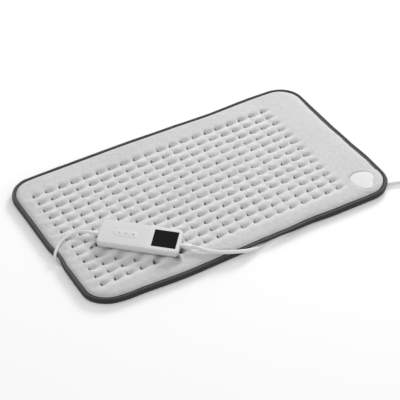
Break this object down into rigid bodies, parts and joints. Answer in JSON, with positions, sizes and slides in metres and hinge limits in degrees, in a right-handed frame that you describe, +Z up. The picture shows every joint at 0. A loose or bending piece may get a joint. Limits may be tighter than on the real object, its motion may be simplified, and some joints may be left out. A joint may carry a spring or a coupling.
{
  "type": "heating pad with hand controller",
  "caption": "Flat tufted plush heating pad with a bound edge, a hand controller with press keys and a display lying on it, a connecting cord and a mains cord with its spare length coiled and tied.",
  "frame": {"origin": "middle of the rest face, on the surface that the pad lies on: the centre of the plain 500 by 285 mm rectangle that the limp pad's sides stray from by up to 11 mm", "axes": "+X along the pad's long side towards the badge end, +Y across the pad away from the side where the mains cord leaves, +Z up out of the plush"},
  "size_m": [0.6541, 0.3145, 0.0269],
  "materials": {
    "plush": "short light grey plush",
    "under_cloth": "smooth light grey knit",
    "binding_tape": "charcoal ribbed tape",
    "felt": "needled felt",
    "heating_wire": "smooth insulation",
    "inner_white": "plain moulded",
    "steel": "plated",
    "black_plastic": "plain moulded",
    "badge": "soft satin",
    "case_plastic": "fine moulded texture",
    "display_window": "polished",
    "lcd": "polished",
    "circuit_board": "lacquered laminate",
    "capacitor": "lacquered",
    "key_plastic": "satin",
    "lead_wire": "smooth insulation",
    "cord_jacket": "satin",
    "coil_tie": "satin",
    "plug_body": "satin",
    "plug_pin": "nickel plated"
  },
  "bodies": {
    "root": {"top_cover": "plush", "bottom_cover": "under_cloth", "edge_binding": "binding_tape", "carrier_felt": "felt", "heating_wire": "heating_wire", "wire_splice": "inner_white", "overheat_cutout": "steel", "temperature_sensor": "black_plastic", "cord_entry_boot": "cord_jacket", "pad_badge": "badge", "controller_upper_shell": "case_plastic", "controller_lower_shell": "case_plastic", "case_screw_1": "steel", "case_screw_2": "steel", "case_screw_3": "steel", "case_screw_4": "steel", "display_window": "display_window", "lcd_panel": "lcd", "light_guide": "inner_white", "circuit_board": "circuit_board", "film_capacitor": "capacitor", "triac": "black_plastic", "fuse": "steel", "control_chip": "black_plastic", "switch_minus": "steel", "switch_power": "steel", "switch_plus": "steel", "strain_relief_pad_side": "cord_jacket", "strain_relief_mains_side": "cord_jacket", "pad_lead_wire_1": "lead_wire", "pad_lead_wire_2": "lead_wire", "mains_lead_wire_1": "lead_wire", "mains_lead_wire_2": "lead_wire", "pad_cord": "cord_jacket", "mains_cord": "cord_jacket", "mains_cord_coil": "cord_jacket", "mains_cord_tail": "cord_jacket", "coil_tie_1": "coil_tie", "coil_tie_2": "coil_tie", "mains_plug": "plug_body", "plug_pin_left": "plug_pin", "plug_pin_right": "plug_pin"},
    "minus_button": {"key_minus": "key_plastic", "plunger_minus": "black_plastic"},
    "power_button": {"key_power": "key_plastic", "plunger_power": "black_plastic"},
    "plus_button": {"key_plus": "key_plastic", "plunger_plus": "black_plastic"}
  },
  "joints": [
    {"name": "minus_press", "type": "slide", "parent": "root", "child": "minus_button", "axis": [0, 0, -1], "range_m": [0, 0.0006], "stiffness_N_per_m": 1200},
    {"name": "power_press", "type": "slide", "parent": "root", "child": "power_button", "axis": [0, 0, -1], "range_m": [0, 0.0006], "stiffness_N_per_m": 1200},
    {"name": "plus_press", "type": "slide", "parent": "root", "child": "plus_button", "axis": [0, 0, -1], "range_m": [0, 0.0006], "stiffness_N_per_m": 1200}
  ]
}
